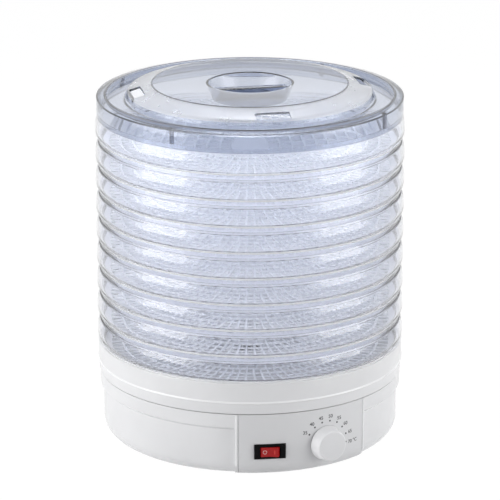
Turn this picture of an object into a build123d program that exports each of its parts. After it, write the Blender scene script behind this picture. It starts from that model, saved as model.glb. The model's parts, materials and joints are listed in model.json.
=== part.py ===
from build123d import *
from math import cos, pi, radians, sin, sqrt, tan
import os

os.makedirs("parts", exist_ok=True)

# Stacking food dehydrator, in millimetres. +Z is up and the axis of the stack is the Z axis.
# The feet stand on z = 0 and the control panel faces -Y.
# An "angle" below is measured round the axis from the front (-Y) towards +X.

# Driving dimensions: clearances
seat_gap = 0.3
fit_gap = 0.1
running_gap = 0.05
thread_gap = 0.05
weld_overlap = 0.5

# Driving dimensions: tray stack
tray_count = 9
tray_pitch = 28.3
tray_neck_radius = 162.9
tray_bulge_proud = 3.7
tray_foot_proud = 0.4
tray_shoulder_proud = 1.5
tray_neck_height = 4.9
tray_wall = 1.9
tray_neck_wall = 1.5
tray_bulge_low = 8.5
tray_bulge_high = 13.0
tray_pan_depth = 9.0
tray_pan_wall = 1.4
tray_nest_gap = 0.8
tray_pan_lip = 3.2
tray_pan_lip_thickness = 1.2
tray_pan_chamfer = 1.0
tray_floor_thickness = 1.8
floor_slot_width = 4.5
floor_slot_length = 15.0
floor_ring_step = 21.5
floor_margin = 8.0
floor_first_ring_slots = 12
floor_more_slots_per_ring = 6

# Driving dimensions: lid
lid_wall = 2.0
lid_skirt_gap = 0.4
lid_skirt_wall = 1.7
lid_rim_height = 16.2
lid_rim_rise = 2.3
lid_rim_width = 10.6
lid_trough_depth = 5.7
lid_trough_width = 20.0
lid_trough_draft = 1.0
lid_shoulder_height = 9.5
lid_shoulder_draft = 2.5
lid_shoulder_round = 5.0
lid_slope_width = 25.6
lid_disc_rise = 7.1
lid_turn = -10.0
lid_vents = 4
vent_width = 37.0
vent_length = 12.0
vent_shift = 4.5
lid_ribs = 4
rib_turn = 49.0
rib_width = 3.5
rib_depth = 3.0
well_rim_radius = 45.0
well_floor_radius = 38.0
well_depth = 20.0
grip_width = 12.0
grip_drop = 5.6

# Driving dimensions: base
foot_radius = 9.0
foot_height = 3.0
foot_proud = 1.5
foot_inset = 35.9
corner_count = 4
corner_turn = 45.0
stack_height = 106.8
seam_height = 72.2
seam_gap = 0.9
ledge_height = 54.0
ledge_rise = 3.0
housing_proud = 1.4
housing_step = 3.4
housing_wall = 2.5
housing_floor = 3.0
housing_corner = 16.0
cover_proud = 3.5
cover_foot_proud = 2.0
cover_band_height = 84.0
cover_band_step = 0.7
cover_top_round = 1.6
cover_wall = 2.5
cover_lip_depth = 5.0
cover_lip_wall = 1.8
deck_drop = 11.8
deck_thickness = 3.5
deck_ledge = 4.0
deck_ledge_thickness = 2.5
boss_inset = 20.9
boss_radius = 6.0
boss_split_height = 60.0
case_screw_radius = 2.0
case_screw_head_radius = 4.2
case_screw_head_height = 3.0
case_screw_recess = 6.5
case_screw_bite = 18.0
intake_slots = 36
intake_slot_length = 24.0
intake_slot_width = 4.0
intake_circle = 78.0

# Driving dimensions: control panel, switch and thermostat
panel_half_angle = 25.6
panel_frame_angle = 1.4
panel_thickness = 2.5
panel_lip = 2.6
panel_lip_angle = 2.0
panel_corner_angle = 60.0
switch_angle = -13.8
switch_height = 30.3
bezel_width = 33.5
bezel_height = 16.2
bezel_thickness = 2.6
bezel_proud = 1.6
switch_body_width = 27.0
switch_body_height = 13.4
switch_body_depth = 20.0
rocker_radius = 10.6
rocker_height = 10.4
rocker_pivot_depth = 4.0
rocker_crown = 4.6
rocker_floor = 5.0
rocker_tilt = 8.0
rocker_pin_radius = 1.2
rocker_pin_length = 1.0
blade_width = 6.3
blade_thickness = 0.8
blade_length = 8.0
blade_pitch = 8.0
blade_count = 3
knob_angle = 8.3
knob_height = 33.0
knob_base_radius = 19.0
knob_face_radius = 16.5
knob_length = 13.2
knob_round = 1.8
knob_lift = 0.6
knob_recess_radius = 11.0
knob_recess_depth = 5.5
spindle_radius = 3.0
spindle_grip = 5.5
bush_radius = 4.75
nut_flats = 14.0
nut_thickness = 2.6
thermostat_width = 30.0
thermostat_depth = 22.0
thermostat_round = 2.0
thermostat_boss_radius = 13.0
thermostat_boss_length = 4.6
gland_radius = 7.0
gland_bore = 3.6
gland_flange_radius = 10.0
gland_flange = 3.0
gland_height = 30.0
gland_pad_radius = 13.0
gland_pad_depth = 5.0
gland_tail = 8.0

# Driving dimensions: fan, motor and heater
shaft_radius = 3.0
shaft_tail = 4.0
motor_screw_spacing = 72.0
motor_post_radius = 6.0
motor_post_top = 16.0
bracket_length = 86.0
bracket_width = 22.0
bracket_thickness = 2.0
bearing_radius = 7.0
bearing_length = 6.0
spacer_radius = 4.5
spacer_length = 4.0
stator_width = 84.0
stator_front = 24.0
stator_back = 52.0
stator_height = 20.0
stator_window_width = 56.0
stator_window_front = 23.0
stator_leg = 14.0
stator_round = 6.0
rotor_radius = 16.0
rotor_air_gap = 0.4
winding_width = 48.0
winding_build = 10.0
motor_screw_radius = 2.0
motor_screw_head_radius = 4.0
motor_screw_head_height = 3.0
motor_screw_bite = 7.0
impeller_radius = 44.0
impeller_lift = 6.0
impeller_height = 12.0
impeller_plate = 1.5
impeller_hub_radius = 9.0
impeller_blades = 12
impeller_blade_thickness = 1.4
impeller_blade_lean = 35.0
shroud_radius = 58.0
shroud_sheet = 0.8
shroud_lift = 1.0
shroud_flange_radius = 74.0
grille_radius = 66.0
grille_opening = 60.0
grille_thickness = 2.5
grille_rings = 4
grille_bar = 4.0
grille_spokes = 4
heater_circle = 40.0
heater_tube_radius = 3.25
heater_lift = 12.0
heater_gap_angle = 40.0
heater_bend = 8.0
heater_leg = 14.0
clip_count = 3
clip_width = 8.0
clip_thickness = 1.5
clip_inner_radius = 34.0
fuse_radius = 2.2
fuse_length = 14.0
terminal_width = 40.0
terminal_depth = 18.0
terminal_height = 16.0
terminal_inset = 42.9
terminal_ways = 3
terminal_pitch = 12.0
terminal_screw_radius = 2.0
terminal_screw_length = 6.0

# Levels and radii that follow from the driving dimensions
tray_inner = tray_neck_radius - tray_neck_wall
tray_bulge_radius = tray_neck_radius + tray_bulge_proud
tray_foot_radius = tray_neck_radius + tray_foot_proud
tray_shoulder_radius = tray_neck_radius + tray_shoulder_proud
tray_pan_radius = tray_inner - tray_nest_gap
tray_pan_inner = tray_pan_radius - tray_pan_wall
tray_shoulder = tray_pitch - tray_neck_height
tray_floor_radius = tray_pan_inner - fit_gap
housing_high_radius = tray_neck_radius + housing_proud
housing_low_radius = housing_high_radius - housing_step
cover_radius = tray_neck_radius + cover_proud
cover_foot_radius = tray_neck_radius + cover_foot_proud
boss_circle = housing_low_radius - boss_inset
foot_circle = housing_low_radius - foot_inset
terminal_circle = housing_low_radius - terminal_inset
housing_bottom = foot_proud
housing_floor_top = housing_bottom + housing_floor
corner_level = housing_bottom + housing_corner
housing_top = seam_height - seam_gap / 2
cover_bottom = seam_height + seam_gap / 2
housing_inner = housing_high_radius - housing_wall
deck_top = stack_height - deck_drop
deck_bottom = deck_top - deck_thickness
lid_radius = tray_neck_radius + lid_skirt_gap + lid_skirt_wall
lid_seat = stack_height + tray_count * tray_pitch
lid_bottom = lid_seat - tray_neck_height + seat_gap
lid_rim_outer_top = lid_seat + lid_rim_height
lid_rim_inner_top = lid_rim_outer_top + lid_rim_rise
lid_rim_inner = lid_radius - lid_rim_width
lid_trough_floor = lid_rim_inner_top - lid_trough_depth
lid_trough_outer = lid_rim_inner - lid_trough_draft
lid_trough_inner = lid_trough_outer - lid_trough_width
lid_shoulder_radius = lid_trough_inner - lid_shoulder_draft
lid_disc_radius = lid_shoulder_radius - lid_slope_width
lid_shoulder_top = lid_trough_floor + lid_shoulder_height
lid_disc_top = lid_shoulder_top + lid_disc_rise
well_floor_top = lid_disc_top - well_depth
grip_top = lid_disc_top - grip_drop
panel_inner = housing_high_radius - panel_thickness
bay_half_angle = panel_half_angle + panel_frame_angle
switch_seat = housing_high_radius + bezel_proud - bezel_thickness
thermostat_seat = panel_inner - thermostat_boss_length
nut_seat = housing_high_radius - seat_gap
knob_back = housing_high_radius + knob_lift
lower_bracket_top = motor_post_top + bracket_thickness
stator_bottom = lower_bracket_top + spacer_length
stator_top = stator_bottom + stator_height
upper_bracket_bottom = stator_top + spacer_length
upper_bracket_top = upper_bracket_bottom + bracket_thickness
shaft_bottom = motor_post_top - shaft_tail
impeller_bottom = upper_bracket_top + impeller_lift
shaft_top = impeller_bottom + impeller_height
shroud_bottom = stator_top + winding_build + shroud_lift
heater_level = shaft_top + heater_lift


# Helpers
def compass(angle):
    """The same direction as an angle from +X, for the polar patterns."""
    return angle - 90


def around(angle, radius, height):
    """A point at an angle from the front, a radius from the axis and a height."""
    return (radius * sin(radians(angle)), -radius * cos(radians(angle)), height)


def section_plane(angle):
    """The upright half plane through the axis at an angle: x is the radius and y the height."""
    turn = radians(angle)
    return Plane(origin=(0, 0, 0), x_dir=(sin(turn), -cos(turn), 0), z_dir=(-cos(turn), -sin(turn), 0))


def facing_plane(angle, radius, height):
    """A plane that looks outwards at an angle: x runs to the viewer's right and y up."""
    turn = radians(angle)
    return Plane(
        origin=around(angle, radius, height),
        x_dir=(cos(turn), sin(turn), 0),
        z_dir=(sin(turn), -cos(turn), 0),
    )


def normal_axis(plane):
    """The axis along a plane's normal."""
    return Axis(plane.origin, plane.z_dir)


def turned(points, mode=Mode.ADD):
    """A full ring turned from its half section, given as (radius, height) points."""
    with BuildSketch(Plane.XZ) as half_section:
        with BuildLine():
            Polyline(*points, close=True)
        make_face()
    revolve(half_section.sketch, axis=Axis.Z, mode=mode)


def column(radius, bottom, top, spots, mode=Mode.ADD):
    """Upright round columns at the given (x, y) spots."""
    with BuildSketch(Plane.XY.offset(bottom)) as rounds:
        with Locations(*spots):
            Circle(radius)
    extrude(rounds.sketch, amount=top - bottom, mode=mode)


def tube(radius, bore, bottom, top, spots):
    """Upright round tubes at the given (x, y) spots."""
    with BuildSketch(Plane.XY.offset(bottom)) as rings:
        with Locations(*spots):
            Circle(radius)
            Circle(bore, mode=Mode.SUBTRACT)
    extrude(rings.sketch, amount=top - bottom)


def plug(plane, radius, near, far, mode=Mode.ADD):
    """A round bar along a plane's normal, between two distances from the plane."""
    with BuildSketch(plane.offset(near)) as disc:
        Circle(radius)
    extrude(disc.sketch, amount=far - near, mode=mode)


def block(plane, width, height, near, far, mode=Mode.ADD):
    """A rectangular bar along a plane's normal, between two distances from the plane."""
    with BuildSketch(plane.offset(near)) as shape:
        Rectangle(width, height)
    extrude(shape.sketch, amount=far - near, mode=mode)


def corner_spots(circle):
    """The four (x, y) spots of the corner pattern on a circle."""
    return [around(corner_turn + 360 / corner_count * i, circle, 0)[:2] for i in range(corner_count)]


def bay_profile(start_angle, depth_near, depth_far, top, end_angle):
    """The face of the panel bay's wall, from its top down and round the bottom corner.

    It lies between two depths below the outer surface. end_angle is how far it goes round the corner."""
    centre = (housing_high_radius - housing_corner, corner_level)
    outer = housing_corner - depth_near
    inner = housing_corner - depth_far

    def on_corner(radius, turn):
        return (centre[0] + radius * cos(radians(turn)), centre[1] - radius * sin(radians(turn)))

    with BuildSketch(section_plane(start_angle)) as wall:
        with BuildLine():
            Line((centre[0] + outer, top), on_corner(outer, 0))
            ThreePointArc(on_corner(outer, 0), on_corner(outer, end_angle / 2), on_corner(outer, end_angle))
            Line(on_corner(outer, end_angle), on_corner(inner, end_angle))
            ThreePointArc(on_corner(inner, end_angle), on_corner(inner, end_angle / 2), on_corner(inner, 0))
            Line(on_corner(inner, 0), (centre[0] + inner, top))
            Line((centre[0] + inner, top), (centre[0] + outer, top))
        make_face()
    return wall.sketch


def swept_bay(half_angle, depth_near, depth_far, top, end_angle, mode=Mode.ADD):
    """The bay's wall turned through an angle to both sides of the front."""
    face = bay_profile(-half_angle, depth_near, depth_far, top, end_angle)
    revolve(face, axis=Axis.Z, revolution_arc=2 * half_angle, mode=mode)


def keep(builder, name):
    """Labels a finished piece and writes it as its own file."""
    builder.part.label = name
    export_step(builder.part, f"parts/{name}.step")


# Tray: a barrel wall with a sunken pan, and the slotted floor that lies on the pan's lip.
# Both are drawn with the tray's seat at z = 0.
pan_bottom = -tray_pan_depth
pan_lip_top = pan_bottom + tray_pan_lip_thickness

with BuildPart() as tray_form:
    with BuildSketch(Plane.XZ) as tray_section:
        with BuildLine():
            foot = (tray_foot_radius, 0)
            bulge_start = (tray_bulge_radius, tray_bulge_low)
            bulge_end = (tray_bulge_radius, tray_bulge_high)
            shoulder = (tray_shoulder_radius, tray_shoulder - seat_gap)
            TangentArc(bulge_start, foot, tangent=(0, -1))
            Line(bulge_start, bulge_end)
            TangentArc(bulge_end, shoulder, tangent=(0, 1))
            Polyline(
                shoulder,
                (tray_neck_radius, tray_shoulder),
                (tray_neck_radius, tray_pitch),
                (tray_inner, tray_pitch),
                (tray_inner, tray_shoulder - tray_wall),
                (tray_bulge_radius - tray_wall, tray_bulge_high),
                (tray_bulge_radius - tray_wall, tray_bulge_low),
                (tray_foot_radius - tray_wall / 3, tray_wall),
                (tray_pan_inner, tray_wall),
                (tray_pan_inner, pan_lip_top),
                (tray_pan_inner - tray_pan_lip, pan_lip_top),
                (tray_pan_inner - tray_pan_lip, pan_bottom),
                (tray_pan_radius - tray_pan_chamfer, pan_bottom),
                (tray_pan_radius, pan_bottom + tray_pan_chamfer),
                (tray_pan_radius, 0),
                foot,
            )
        make_face()
    revolve(tray_section.sketch, axis=Axis.Z)

floor_rings = int((tray_pan_inner - tray_pan_lip - floor_margin - floor_slot_length / 2) / floor_ring_step)
with BuildPart() as floor_form:
    with BuildSketch(Plane.XY.offset(pan_lip_top)) as floor_outline:
        Circle(tray_floor_radius)
        for ring in range(floor_rings):
            slots = floor_first_ring_slots + floor_more_slots_per_ring * ring
            with PolarLocations(floor_ring_step * (ring + 1), slots):
                Rectangle(floor_slot_length, floor_slot_width, mode=Mode.SUBTRACT)
    extrude(floor_outline.sketch, amount=tray_floor_thickness)

for number in range(1, tray_count + 1):
    tray_seat = Location((0, 0, stack_height + (number - 1) * tray_pitch))
    with BuildPart() as tray:
        with Locations(tray_seat):
            add(tray_form.part)
    keep(tray, f"tray_{number}")
    with BuildPart() as tray_floor:
        with Locations(tray_seat):
            add(floor_form.part)
    keep(tray_floor, f"tray_floor_{number}")

# Lid: raised disc with a sunken grip, vents on its slope, a trough, a rim and a skirt
grip_angle = compass(lid_turn + 90)

with BuildPart() as grip_bar:
    with BuildSketch(Plane.XY.offset(well_floor_top - lid_wall / 2)) as bar_outline:
        Rectangle(2 * well_rim_radius, grip_width, rotation=grip_angle)
    extrude(bar_outline.sketch, amount=grip_top - well_floor_top + lid_wall / 2)
    turned(
        [
            (0, well_floor_top - lid_wall),
            (well_floor_radius + lid_wall / 2, well_floor_top - lid_wall),
            (well_rim_radius + lid_wall / 2, lid_disc_top),
            (0, lid_disc_top),
        ],
        mode=Mode.INTERSECT,
    )

with BuildPart() as lid:
    turned(
        [
            (0, well_floor_top),
            (well_floor_radius, well_floor_top),
            (well_rim_radius, lid_disc_top),
            (lid_disc_radius, lid_disc_top),
            (lid_shoulder_radius, lid_shoulder_top),
            (lid_trough_inner, lid_trough_floor),
            (lid_trough_outer, lid_trough_floor),
            (lid_rim_inner, lid_rim_inner_top),
            (lid_radius, lid_rim_outer_top),
            (lid_radius, lid_bottom),
            (lid_radius - lid_skirt_wall, lid_bottom),
            (lid_radius - lid_skirt_wall, lid_rim_outer_top - lid_wall),
            (lid_rim_inner + lid_wall, lid_rim_inner_top - lid_wall),
            (lid_trough_outer + lid_wall, lid_trough_floor - lid_wall),
            (lid_trough_inner - lid_wall, lid_trough_floor - lid_wall),
            (lid_shoulder_radius - lid_wall, lid_shoulder_top - lid_wall),
            (lid_disc_radius, lid_disc_top - lid_wall),
            (well_rim_radius + lid_wall, lid_disc_top - lid_wall),
            (well_floor_radius + lid_wall, well_floor_top - lid_wall),
            (0, well_floor_top - lid_wall),
        ]
    )
    shoulder_edges = lid.edges().filter_by(GeomType.CIRCLE).filter_by(
        lambda edge: lid_trough_floor - seat_gap < edge.arc_center.Z < lid_shoulder_top + seat_gap
        and lid_shoulder_radius - seat_gap < edge.radius < lid_trough_inner + seat_gap
    )
    fillet(shoulder_edges, radius=lid_shoulder_round)
    add(grip_bar.part)
    grip_hollow = grip_width - 2 * lid_wall
    with BuildSketch(Plane.XY.offset(well_floor_top - lid_wall)) as hollow_outline:
        Rectangle(2 * well_floor_radius - 2 * lid_wall, grip_hollow, rotation=grip_angle)
    extrude(hollow_outline.sketch, amount=grip_top - well_floor_top, mode=Mode.SUBTRACT)
    vent_circle = (lid_disc_radius + lid_shoulder_radius) / 2 + vent_shift
    with BuildSketch(Plane.XY.offset(lid_shoulder_top - lid_wall)) as vent_outlines:
        with PolarLocations(vent_circle, lid_vents, start_angle=compass(lid_turn)):
            Rectangle(vent_length, vent_width)
    extrude(vent_outlines.sketch, amount=lid_disc_rise + lid_wall, mode=Mode.SUBTRACT)
    rib_outer = lid_radius - lid_skirt_wall / 2
    rib_inner = lid_radius - lid_skirt_wall - rib_depth
    with BuildSketch(Plane.XY.offset(lid_seat)) as rib_outlines:
        with PolarLocations((rib_outer + rib_inner) / 2, lid_ribs, start_angle=compass(lid_turn + rib_turn)):
            Rectangle(rib_outer - rib_inner, rib_width)
    extrude(rib_outlines.sketch, amount=lid_rim_height - lid_wall / 2)
keep(lid, "lid")

# Base cover: outer band with the tray seat on top and a ledge inside for the deck
with BuildPart() as base_cover:
    lip_outer = housing_inner - seat_gap
    lip_inner = lip_outer - cover_lip_wall
    turned(
        [
            (cover_foot_radius, cover_bottom),
            (cover_radius - cover_band_step, cover_band_height),
            (cover_radius, cover_band_height + cover_band_step),
            (cover_radius, stack_height - cover_top_round),
            (cover_radius - cover_top_round, stack_height),
            (tray_inner, stack_height),
            (tray_inner, deck_bottom),
            (tray_inner - deck_ledge, deck_bottom),
            (tray_inner - deck_ledge, deck_bottom - deck_ledge_thickness),
            (cover_foot_radius - cover_wall, deck_bottom - deck_ledge_thickness),
            (cover_foot_radius - cover_wall, cover_bottom + cover_lip_depth),
            (lip_inner, cover_bottom + cover_lip_depth),
            (lip_inner, cover_bottom - cover_lip_depth),
            (lip_outer, cover_bottom - cover_lip_depth),
            (lip_outer, cover_bottom),
        ]
    )
    with BuildSketch(section_plane(-bay_half_angle - panel_frame_angle)) as lip_notch:
        with BuildLine():
            Polyline(
                (lip_inner - seat_gap, cover_bottom - cover_lip_depth),
                (lip_outer + seat_gap, cover_bottom - cover_lip_depth),
                (lip_outer + seat_gap, cover_bottom),
                (lip_inner - seat_gap, cover_bottom),
                close=True,
            )
        make_face()
    notch_arc = 2 * (bay_half_angle + panel_frame_angle)
    revolve(lip_notch.sketch, axis=Axis.Z, revolution_arc=notch_arc, mode=Mode.SUBTRACT)
keep(base_cover, "base_cover")

# Deck: the plate over the fan, with a rebated opening for the grille and bosses for the case screws
with BuildPart() as base_deck:
    turned(
        [
            (tray_inner - seat_gap, deck_bottom),
            (tray_inner - seat_gap, deck_top),
            (grille_radius + seat_gap, deck_top),
            (grille_radius + seat_gap, deck_top - grille_thickness),
            (grille_opening, deck_top - grille_thickness),
            (grille_opening, deck_bottom),
        ]
    )
    column(boss_radius, boss_split_height, deck_bottom + weld_overlap, corner_spots(boss_circle))
    column(
        case_screw_radius + thread_gap,
        boss_split_height,
        boss_split_height + case_screw_bite,
        corner_spots(boss_circle),
        mode=Mode.SUBTRACT,
    )
keep(base_deck, "base_deck")

# Base housing: tub with a stepped wall, a bay for the panel, intake slots and bosses
corner_centre = (housing_low_radius - housing_corner, corner_level)
inner_corner = housing_corner - housing_wall
post_x = motor_screw_spacing / 2
post_spots = [(-post_x, 0), (post_x, 0)]
gland_plane = facing_plane(180, 0, gland_height)
gland_seat = housing_low_radius + seat_gap

with BuildPart() as base_housing:
    with BuildSketch(Plane.XZ) as tub_section:
        with BuildLine():
            slant = sin(radians(45))
            Line((0, housing_bottom), (corner_centre[0], housing_bottom))
            ThreePointArc(
                (corner_centre[0], housing_bottom),
                (corner_centre[0] + housing_corner * slant, corner_level - housing_corner * slant),
                (housing_low_radius, corner_level),
            )
            Polyline(
                (housing_low_radius, corner_level),
                (housing_low_radius, ledge_height),
                (housing_high_radius, ledge_height + ledge_rise),
                (housing_high_radius, housing_top),
                (housing_inner, housing_top),
                (housing_inner, ledge_height + ledge_rise),
                (housing_low_radius - housing_wall, ledge_height),
                (housing_low_radius - housing_wall, corner_level),
            )
            ThreePointArc(
                (housing_low_radius - housing_wall, corner_level),
                (corner_centre[0] + inner_corner * slant, corner_level - inner_corner * slant),
                (corner_centre[0], corner_level - inner_corner),
            )
            Polyline(
                (corner_centre[0], corner_level - inner_corner),
                (corner_centre[0] - housing_corner, housing_floor_top),
                (0, housing_floor_top),
                (0, housing_bottom),
            )
        make_face()
    revolve(tub_section.sketch, axis=Axis.Z)
    swept_bay(bay_half_angle, 0, panel_thickness + panel_lip, housing_top, 90)
    swept_bay(panel_half_angle, 0, panel_thickness + fit_gap, housing_top, panel_corner_angle, Mode.SUBTRACT)
    window_half_angle = panel_half_angle - panel_lip_angle
    window_depth = 2 * (panel_thickness + panel_lip)
    with BuildSketch(section_plane(-window_half_angle)) as bay_window:
        with BuildLine():
            Polyline(
                (housing_high_radius, corner_level),
                (housing_high_radius, housing_top - 2 * panel_lip),
                (housing_high_radius - window_depth, housing_top - 2 * panel_lip),
                (housing_high_radius - window_depth, corner_level),
                close=True,
            )
        make_face()
    revolve(bay_window.sketch, axis=Axis.Z, revolution_arc=2 * window_half_angle, mode=Mode.SUBTRACT)
    column(boss_radius, housing_bottom, boss_split_height, corner_spots(boss_circle))
    column(motor_post_radius, housing_bottom, motor_post_top, post_spots)
    case_screw_seat = housing_bottom + case_screw_recess
    column(
        case_screw_head_radius + seat_gap,
        housing_bottom,
        case_screw_seat,
        corner_spots(boss_circle),
        mode=Mode.SUBTRACT,
    )
    column(
        case_screw_radius + seat_gap,
        case_screw_seat,
        boss_split_height,
        corner_spots(boss_circle),
        mode=Mode.SUBTRACT,
    )
    column(
        motor_screw_radius + thread_gap,
        motor_post_top - motor_screw_bite,
        motor_post_top,
        post_spots,
        mode=Mode.SUBTRACT,
    )
    column(
        foot_radius + seat_gap,
        housing_bottom,
        foot_height,
        corner_spots(foot_circle),
        mode=Mode.SUBTRACT,
    )
    with BuildSketch(Plane.XY.offset(housing_bottom)) as intake_outlines:
        with PolarLocations(intake_circle, intake_slots):
            Rectangle(intake_slot_length, intake_slot_width)
    extrude(intake_outlines.sketch, amount=housing_floor, mode=Mode.SUBTRACT)
    plug(gland_plane, gland_pad_radius, housing_low_radius - gland_pad_depth, gland_seat)
    plug(
        gland_plane,
        gland_radius + fit_gap,
        housing_low_radius - gland_pad_depth - housing_wall,
        gland_seat,
        mode=Mode.SUBTRACT,
    )
keep(base_housing, "base_housing")

# Control panel: curved insert with the switch window and the thermostat hole
switch_plane = facing_plane(switch_angle, 0, switch_height)
knob_plane = facing_plane(knob_angle, 0, knob_height)

with BuildPart() as control_panel:
    gap_angle = seat_gap / housing_high_radius * 180 / pi
    corner_gap_angle = seat_gap / housing_corner * 180 / pi
    swept_bay(
        panel_half_angle - gap_angle,
        0,
        panel_thickness,
        housing_top,
        panel_corner_angle - corner_gap_angle,
    )
    plug(knob_plane, thermostat_boss_radius, thermostat_seat, panel_inner + weld_overlap)
    block(
        switch_plane,
        bezel_width + 2 * seat_gap,
        bezel_height + 2 * seat_gap,
        switch_seat,
        2 * housing_high_radius - switch_seat,
        mode=Mode.SUBTRACT,
    )
    block(
        switch_plane,
        switch_body_width + 2 * seat_gap,
        switch_body_height + 2 * seat_gap,
        switch_seat - 2 * panel_thickness,
        housing_high_radius,
        mode=Mode.SUBTRACT,
    )
    plug(knob_plane, knob_recess_radius, nut_seat, housing_high_radius + panel_thickness, mode=Mode.SUBTRACT)
    plug(knob_plane, bush_radius + fit_gap, thermostat_seat, housing_high_radius, mode=Mode.SUBTRACT)
keep(control_panel, "control_panel")

# Rocker switch: bezel and body in one piece, the rocker on its two pins, and the blades
pocket_half_width = rocker_radius + seat_gap
pocket_height = rocker_height + 2 * seat_gap
bezel_front = switch_seat + bezel_thickness
pivot_radius = bezel_front - rocker_pivot_depth
pocket_depth = rocker_radius + seat_gap
body_back = switch_seat - switch_body_depth

with BuildPart() as switch_housing:
    block(switch_plane, bezel_width, bezel_height, switch_seat, bezel_front)
    chamfer(switch_housing.faces().sort_by(normal_axis(switch_plane)).last.edges(), bezel_proud / 2)
    block(switch_plane, switch_body_width, switch_body_height, body_back, switch_seat)
    block(
        switch_plane,
        2 * pocket_half_width,
        pocket_height,
        pivot_radius - pocket_depth,
        bezel_front,
        mode=Mode.SUBTRACT,
    )
    pin_bore = rocker_pin_radius + running_gap
    with BuildSketch(Plane(origin=around(switch_angle, pivot_radius, switch_height))) as bores:
        Circle(pin_bore)
    extrude(
        bores.sketch,
        amount=rocker_height / 2 + rocker_pin_length + running_gap,
        both=True,
        mode=Mode.SUBTRACT,
    )
keep(switch_housing, "switch_housing")

rocker_plane = Plane(
    origin=around(switch_angle, pivot_radius, switch_height - rocker_height / 2),
    x_dir=switch_plane.x_dir,
    z_dir=(0, 0, 1),
)
with BuildPart() as switch_rocker:
    with BuildSketch(rocker_plane.rotated((0, 0, -rocker_tilt))) as rocker_outline:
        Circle(rocker_radius)
        with BuildLine():
            rise = rocker_radius * tan(radians(rocker_tilt))
            Polyline(
                (-rocker_radius, rocker_floor),
                (rocker_radius, rocker_floor),
                (rocker_radius, -rocker_crown - rise),
                (0, -rocker_crown),
                (-rocker_radius, -rocker_crown - rise),
                close=True,
            )
        make_face(mode=Mode.INTERSECT)
    extrude(rocker_outline.sketch, amount=rocker_height)
    with BuildSketch(rocker_plane.offset(-rocker_pin_length)) as rocker_pins:
        Circle(rocker_pin_radius)
    extrude(rocker_pins.sketch, amount=rocker_height + 2 * rocker_pin_length)
keep(switch_rocker, "switch_rocker")

with BuildPart() as switch_terminals:
    with BuildSketch(switch_plane.offset(body_back - blade_length)) as blades:
        with GridLocations(blade_pitch, 0, blade_count, 1):
            Rectangle(blade_thickness, blade_width)
    extrude(blades.sketch, amount=blade_length)
keep(switch_terminals, "switch_terminals")

# Thermostat behind the panel, with its bush, nut, spindle and knob
with BuildPart() as thermostat_body:
    block(knob_plane, thermostat_width, thermostat_width, thermostat_seat - thermostat_depth, thermostat_seat)
    fillet(thermostat_body.edges().filter_by(normal_axis(knob_plane)), thermostat_round)
    plug(knob_plane, bush_radius, thermostat_seat, nut_seat + nut_thickness)
    plug(
        knob_plane,
        spindle_radius + running_gap,
        thermostat_seat - thermostat_depth / 2,
        nut_seat + nut_thickness,
        mode=Mode.SUBTRACT,
    )
keep(thermostat_body, "thermostat_body")

with BuildPart() as thermostat_nut:
    with BuildSketch(knob_plane.offset(nut_seat)) as nut_outline:
        RegularPolygon(nut_flats / 2, 6, major_radius=False)
        Circle(bush_radius + thread_gap, mode=Mode.SUBTRACT)
    extrude(nut_outline.sketch, amount=nut_thickness)
keep(thermostat_nut, "thermostat_nut")

spindle_end = knob_back + knob_recess_depth + spindle_grip - 2 * seat_gap
with BuildPart() as thermostat_spindle:
    plug(knob_plane, spindle_radius, thermostat_seat - thermostat_depth / 2 + seat_gap, spindle_end)
keep(thermostat_spindle, "thermostat_spindle")

with BuildPart() as temperature_knob:
    with BuildSketch(knob_plane.offset(knob_back)) as knob_base:
        Circle(knob_base_radius)
    with BuildSketch(knob_plane.offset(knob_back + knob_length)) as knob_face:
        Circle(knob_face_radius)
    loft([knob_base.sketch.face(), knob_face.sketch.face()])
    fillet(temperature_knob.faces().sort_by(normal_axis(knob_plane)).last.edges(), knob_round)
    plug(knob_plane, knob_recess_radius, knob_back, knob_back + knob_recess_depth, mode=Mode.SUBTRACT)
    plug(
        knob_plane,
        spindle_radius + fit_gap / 2,
        knob_back + knob_recess_depth,
        spindle_end + seat_gap,
        mode=Mode.SUBTRACT,
    )
keep(temperature_knob, "temperature_knob")

# Supply entry at the rear: a bush with a flange on the housing's flat pad
with BuildPart() as cord_gland:
    plug(gland_plane, gland_flange_radius, gland_seat, gland_seat + gland_flange)
    chamfer(cord_gland.faces().sort_by(normal_axis(gland_plane)).last.edges(), gland_flange / 3)
    plug(gland_plane, gland_radius, gland_seat - gland_tail - housing_wall, gland_seat)
    plug(
        gland_plane,
        gland_bore,
        gland_seat - gland_tail - housing_wall,
        gland_seat + gland_flange,
        mode=Mode.SUBTRACT,
    )
keep(cord_gland, "cord_gland")

# Feet and case screws, each a set of equal pieces
with BuildPart() as feet:
    column(foot_radius, 0, foot_height, corner_spots(foot_circle))
keep(feet, "feet")

with BuildPart() as case_screws:
    column(
        case_screw_head_radius,
        case_screw_seat - case_screw_head_height,
        case_screw_seat,
        corner_spots(boss_circle),
    )
    column(
        case_screw_radius,
        case_screw_seat,
        boss_split_height + case_screw_bite - seat_gap,
        corner_spots(boss_circle),
    )
keep(case_screws, "case_screws")

# Motor: brackets with bearings, spacers, stator, winding, rotor, shaft and two long screws
def bearing_bracket(bottom):
    """A flat bracket with a bearing seat and two screw holes."""
    with BuildSketch(Plane.XY.offset(bottom)) as outline:
        SlotOverall(bracket_length, bracket_width)
        Circle(bearing_radius + fit_gap / 2, mode=Mode.SUBTRACT)
        with Locations(*post_spots):
            Circle(motor_screw_radius + seat_gap, mode=Mode.SUBTRACT)
    extrude(outline.sketch, amount=bracket_thickness)


with BuildPart() as bracket_lower:
    bearing_bracket(motor_post_top)
keep(bracket_lower, "bracket_lower")

with BuildPart() as bracket_upper:
    bearing_bracket(upper_bracket_bottom)
keep(bracket_upper, "bracket_upper")

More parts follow.
